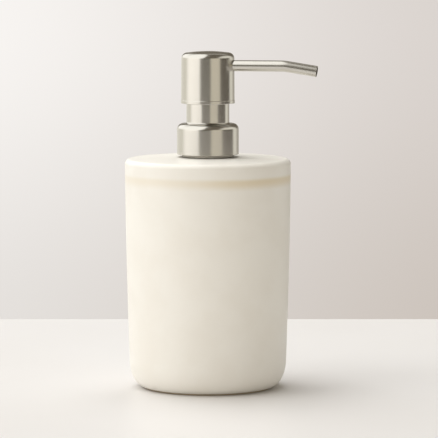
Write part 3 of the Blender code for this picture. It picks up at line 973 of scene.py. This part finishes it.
def spout_shape(radius, bore, start, tip, sides):
    bm = bmesh.new()
    along_x = Matrix.Translation((start, 0, SPOUT_HEIGHT)) @ Matrix.Rotation(pi / 2, 4, "Y")
    for size in (radius, bore):
        bmesh.ops.create_circle(bm, cap_ends=False, radius=size, segments=sides, matrix=along_x)
    bmesh.ops.bridge_loops(bm, edges=bm.edges[:])
    first = bm.faces[:] + bm.edges[:] + bm.verts[:]
    end = extruded(bm, first, Vector((BEND_START - start, 0, 0)))
    centre = (BEND_START, 0, SPOUT_HEIGHT - BEND_RADIUS)
    bent = bmesh.ops.spin(bm, geom=end, cent=centre, axis=(0, 1, 0), angle=BEND_ANGLE, steps=12)
    way = Vector((cos(BEND_ANGLE), 0, -sin(BEND_ANGLE)))
    end = extruded(bm, bent["geom_last"], way * tip)
    bmesh.ops.recalc_face_normals(bm, faces=bm.faces)
    # An edge round the mouth borders one face of the end ring, and one across the wall two
    ring = set(only(bmesh.types.BMFace, end))
    edges = only(bmesh.types.BMEdge, end)
    rims = [edge for edge in edges if len(ring.intersection(edge.link_faces)) == 1]
    rounded(bm, rims, (radius - bore) * 0.3)
    bmesh.ops.recalc_face_normals(bm, faces=bm.faces)
    return bm


def make_spout():
    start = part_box("spout_tube")[0].x
    tube = spout_shape(SPOUT_RADIUS, SPOUT_BORE, start, SPOUT_TIP, 48)
    piece("steel_spout", tube, "spout_tube", TUBE_STEEL)
    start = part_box("spout_liner")[0].x
    liner = spout_shape(LINER_RADIUS, LINER_BORE, start, LINER_TIP, 40)
    piece("spout_pipe", liner, "spout_liner", TUBE_PLASTIC)


make_spout()

# %% [markdown]
# ## Inside the head
#
# The head's core is moulded with thin ribs, because a solid block would sink as it cools. Its
# boss takes the hollow stem, and a passage leads from the stem's top out to the spout. The ribs
# are cubes shaped by Scale and joined on, and a rod cuts the passage.

# %% Head core
STEM_RADIUS = 0.0038
STEM_BORE = 0.0022
CORE_FOOT = top_of("head_core") - 0.0096


def make_head_core():
    foot, top, outer = foot_of("head_core"), top_of("head_core"), radius_of("head_core")
    boss, ceiling = 0.0058, foot + 0.0062
    corners = [
        (STEM_RADIUS + GAP, foot, 0.0003), (boss, foot, 0.0003), (boss, CORE_FOOT, 0.0006),
        (outer, CORE_FOOT, 0.0003), (outer, top, 0.0024), (0, top, 0), (0, SPOUT_HEIGHT, 0),
        (STEM_BORE, SPOUT_HEIGHT, 0), (STEM_BORE, ceiling, 0),
        (STEM_RADIUS + GAP, ceiling, 0.0003),
    ]
    core = new_object("core", spun(outline(corners, 5)))
    rib_foot, rib_root, rib_reach, rib_width = CORE_FOOT - 0.0020, boss - 0.0006, 0.0098, 0.0009
    rib_height = CORE_FOOT - rib_foot + 0.0008
    for turn in range(6):
        rib = block(
            (rib_reach - rib_root, rib_width, rib_height),
            ((rib_root + rib_reach) / 2, 0, (CORE_FOOT + rib_foot) / 2),
        )
        turned(rib, (turn + 0.5) * pi / 3)
        core = combined(core, new_object("rib", rib), "UNION")
    tube_seat, liner_seat = 0.0090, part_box("spout_liner")[0].x - GAP
    for radius, low, high in (
        (LINER_RADIUS + GAP, liner_seat, outer),
        (SPOUT_RADIUS + 0.0002, tube_seat, outer + 0.002),
        (0.00175, 0.0, outer),
    ):
        core = combined(core, rod(radius, low, high), "DIFFERENCE")
    piece("head_block", core, "head_core", PUMP_PLASTIC)


make_head_core()

# %% [markdown]
# ## The pump
#
# Pressing the head pushes the stem and the piston down the cylinder and squeezes the spring.
# The ball shuts the inlet, and the liquid goes up through the stem to the spout. On the way
# back the plug shuts the piston, the ball lifts and the cylinder fills through the dip tube.
# None of this shows from outside, and all of it is made, so that the pump comes apart on a
# bench.

# %% Cylinder, chaplet and dip tube
BARREL_RADIUS = 0.0080
BARREL_BORE = 0.0065
SOCKET_RADIUS = 0.0049
SOCKET_BORE = 0.0038


def make_cylinder():
    foot, top = foot_of("pump_cylinder"), top_of("pump_cylinder")
    flange = radius_of("pump_cylinder")
    flange_foot, barrel_foot, neck_slope = top - 0.0010, foot + 0.0160, 0.0032
    seat_bore, seat_foot, ceiling = 0.0015, foot + 0.0133, foot + 0.0113
    ledge_bore, ledge_top = 0.0056, foot + 0.0189
    corners = [
        (SOCKET_BORE, foot, 0.0003), (SOCKET_RADIUS, foot, 0.0003),
        (SOCKET_RADIUS, barrel_foot - neck_slope, 0.0006), (BARREL_RADIUS, barrel_foot, 0.0006),
        (BARREL_RADIUS, flange_foot, 0.0005), (flange, flange_foot, 0.0002),
        (flange, top, 0.0002), (BARREL_BORE, top, 0.0004), (BARREL_BORE, ledge_top, 0.0002),
        (ledge_bore, ledge_top, 0.0002),
        (ledge_bore, seat_foot + ledge_bore - seat_bore, 0.0005),
        (seat_bore, seat_foot, 0.0002), (seat_bore, ceiling, 0), (SOCKET_BORE, ceiling, 0.0002),
    ]
    cylinder = new_object("cylinder", spun(outline(corners, 5)))
    vent_height = top - 0.0050
    vent = rod(0.0006, BARREL_BORE - 0.001, BARREL_RADIUS + 0.002)
    vent.data.transform(Matrix.Translation((0, 0, vent_height - SPOUT_HEIGHT)))
    cylinder = combined(cylinder, vent, "DIFFERENCE")
    piece("cylinder_body", cylinder, "pump_cylinder", PUMP_PLASTIC)


def make_chaplet():
    foot, top, flange = foot_of("chaplet"), top_of("chaplet"), radius_of("chaplet")
    bore, skirt, tower = 0.0041, BARREL_BORE - GAP, 0.0066
    shelf, flange_top = foot + 0.0026, foot + 0.0042
    corners = [
        (bore, foot, 0.0003), (skirt, foot, 0.0004), (skirt, shelf, 0), (flange, shelf, 0.0002),
        (flange, flange_top, 0.0003), (tower, flange_top, 0.0005), (tower, top, 0.0012),
        (bore, top, 0.0004),
    ]
    chaplet = new_object("chaplet_body", spun(outline(corners, 6)))
    for turn in range(2):  # two bars cut four notches in the flange and leave the tower whole
        bar = turned(block((0.0012, 3 * flange, 0.0010), (0, 0, flange_top)), turn * pi / 2)
        middle = new_object("middle", upright_rod(tower + 0.0003, 1, 64))
        notches = combined(new_object("notches", bar), middle, "DIFFERENCE")
        chaplet = combined(chaplet, notches, "DIFFERENCE")
    piece("chaplet_ring", chaplet, "chaplet", PUMP_PLASTIC)


def make_dip_tube():
    foot, top, outer = foot_of("dip_tube"), top_of("dip_tube"), radius_of("dip_tube")
    bore = outer - 0.0010
    corners = [(bore, foot, 0), (outer, foot, 0), (outer, top, 0.0003), (bore, top, 0.0003)]
    bm = spun(outline(corners, 4), 64)
    # The foot is cut off at 30 degrees, so that it can't close on the jar's floor
    slant = bmesh.ops.bisect_plane(
        bm, geom=bm.verts[:] + bm.edges[:] + bm.faces[:], dist=MERGE,
        plane_co=(0, 0, foot + outer * 0.6), plane_no=(-0.5, 0, -0.866), clear_outer=True,
    )
    bmesh.ops.bridge_loops(bm, edges=only(bmesh.types.BMEdge, slant["geom_cut"]))
    bmesh.ops.recalc_face_normals(bm, faces=bm.faces)
    piece("suction_tube", bm, "dip_tube", TUBE_PLASTIC)


make_cylinder()
make_chaplet()
make_dip_tube()

# %% [markdown]
# ## Ball, cage and glass
#
# A glass ball drops on its seat by its own weight and is ground truly round. The cage above it
# is a ring with cross slots, so the liquid passes while the ball can't.

# %% Ball and cage
def make_ball_glass():
    material, graph, shader, place = new_material("ball_glass")
    haze = noise(graph, place, 1500.0, 3.0)
    set_inputs(
        shader, graph, Base_Color=graph.mix(haze, (0.80, 0.90, 0.87), (0.74, 0.85, 0.82)),
        Roughness=0.04 + haze * 0.06, Transmission_Weight=0.9, IOR=1.5,
    )
    return material


def make_ball():
    low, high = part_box("inlet_ball")
    bm = bmesh.new()
    bmesh.ops.create_icosphere(bm, subdivisions=4, radius=(high.z - low.z) / 2)
    bmesh.ops.translate(bm, verts=bm.verts, vec=(low + high) / 2)
    piece("glass_ball", bm, "inlet_ball", make_ball_glass())


def make_cage():
    foot, top, outer = foot_of("ball_cage"), top_of("ball_cage"), radius_of("ball_cage")
    bore, slot_length, slot_width, slot_height = 0.0014, 0.0088, 0.0013, 0.01
    corners = [
        (bore, foot, 0.0003), (outer, foot, 0.0003), (outer, top, 0.0004), (bore, top, 0.0003),
    ]
    cage = new_object("cage", spun(outline(corners, 4)))
    middle = (0, 0, (foot + top) / 2)
    for length, width in ((slot_length, slot_width), (slot_width, slot_length)):
        slot = block((length, width, slot_height), middle)
        cage = combined(cage, new_object("slot", slot), "DIFFERENCE")
    piece("ball_keeper", cage, "ball_cage", PUMP_PLASTIC)


make_ball()
make_cage()

# %% [markdown]
# ## Spring
#
# The spring is drawn stainless wire, coiled with a closed turn at each end so that it stands
# straight. A small circle is swept round and up in three stages.

# %% Return spring
def make_wire_steel():
    material, graph, shader, place = new_material("spring_wire")
    lines = noise(graph, place, 2500.0, 3.0)
    set_inputs(
        shader, graph, Base_Color=graph.mix(lines, (0.60, 0.60, 0.58), (0.50, 0.50, 0.48)),
        Metallic=1.0, Roughness=0.22 + lines * 0.12,
    )
    return material


def make_spring():
    low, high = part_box("return_spring")
    wire = 0.00045  # its radius
    coil = high.x - wire
    closed = 2.4 * wire  # the climb of an end turn, which all but touches the next
    working = high.z - low.z - 2 * wire - 2 * closed
    bm = bmesh.new()
    place = Matrix.Translation((coil, 0, low.z + wire)) @ Matrix.Rotation(pi / 2, 4, "X")
    bmesh.ops.create_circle(bm, cap_ends=True, radius=wire, segments=14, matrix=place)
    end = bm.faces[:] + bm.edges[:] + bm.verts[:]
    for turns, rise in ((1, closed), (6, working), (1, closed)):
        count = 36 * turns
        swept = bmesh.ops.spin(
            bm, geom=end, cent=(0, 0, 0), axis=(0, 0, 1), dvec=(0, 0, rise / count),
            angle=2 * pi * turns, steps=count,
        )
        end = swept["geom_last"]
    bmesh.ops.recalc_face_normals(bm, faces=bm.faces)
    spring = piece("wire_spring", bm, "return_spring", make_wire_steel())
    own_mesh(spring)


make_spring()

# %% [markdown]
# ## Piston, plug and stem
#
# The piston is a thin sleeve with a flared lip at each end that wipes the cylinder. The stem
# slides a little inside it before it moves, which opens the way past the plug's cone. Flutes
# along the plug's shank carry the liquid up into the stem.

# %% Piston, plug and stem
def make_piston():
    foot, top, outer = foot_of("piston_seal"), top_of("piston_seal"), radius_of("piston_seal")
    seat_bore, seat_top, waist, lip = 0.0034, foot + 0.0015, 0.0054, 0.0012
    bore = STEM_RADIUS + GAP
    groove, edge = outer - 0.0006, outer - 0.00015
    low, high = foot + 0.0004, top - 0.0006
    corners = [
        (seat_bore, low, 0.0002), (groove, low, 0), (edge, foot, 0.0001), (outer, foot, 0.0001),
        (outer, foot + lip, 0.0004), (waist, foot + 2 * lip, 0.0006),
        (waist, top - 2 * lip, 0.0006), (outer, top - lip, 0.0004), (outer, top, 0.0001),
        (edge, top, 0.0001), (groove, high, 0), (bore, high, 0.0002), (bore, seat_top, 0.0002),
        (seat_bore, seat_top, 0.0002),
    ]
    piece("piston_sleeve", spun(outline(corners, 5)), "piston_seal", TUBE_PLASTIC)


def make_plug():
    foot, top, seat = foot_of("stem_plug"), top_of("stem_plug"), radius_of("stem_plug")
    seat_top, cone_top, shank = foot + 0.0014, foot + 0.0040, 0.0016
    cone_foot = shank + cone_top - seat_top + 0.001
    corners = [
        (0, foot, 0), (seat, foot, 0.0003), (seat, seat_top, 0.0003),
        (cone_foot, seat_top, 0.0003), (shank + 0.001, cone_top, 0.0002),
        (shank, cone_top, 0.0002), (shank, top, 0.0004), (0, top, 0),
    ]
    plug = new_object("plug", spun(outline(corners, 4)))
    flute_foot, flute_top = cone_top + 0.0008, top + 0.001
    flute_place = (shank + 0.0001, 0, (flute_top + flute_foot) / 2)
    for turn in range(4):
        flute = upright_rod(0.0005, flute_top - flute_foot, 24)
        bmesh.ops.translate(flute, verts=flute.verts, vec=flute_place)
        turned(flute, turn * pi / 2 + 0.1)  # 0.1 keeps its corners off those of the shank
        plug = combined(plug, new_object("flute", flute), "DIFFERENCE")
    piece("fluted_plug", plug, "stem_plug", PUMP_PLASTIC)


def make_stem():
    foot, top, stop = foot_of("piston_stem"), top_of("piston_stem"), radius_of("piston_stem")
    stop_foot, stop_top = foot + 0.0046, foot + 0.0058
    corners = [
        (STEM_BORE, foot, 0.0003), (STEM_RADIUS, foot, 0.0003),
        (STEM_RADIUS, stop_foot, 0.0003), (stop, stop_foot, 0.0003), (stop, stop_top, 0.0003),
        (STEM_RADIUS, stop_top, 0.0003), (STEM_RADIUS, top, 0.0004), (STEM_BORE, top, 0.0003),
    ]
    piece("hollow_stem", spun(outline(corners, 4)), "piston_stem", PUMP_PLASTIC)


make_piston()
make_plug()
make_stem()
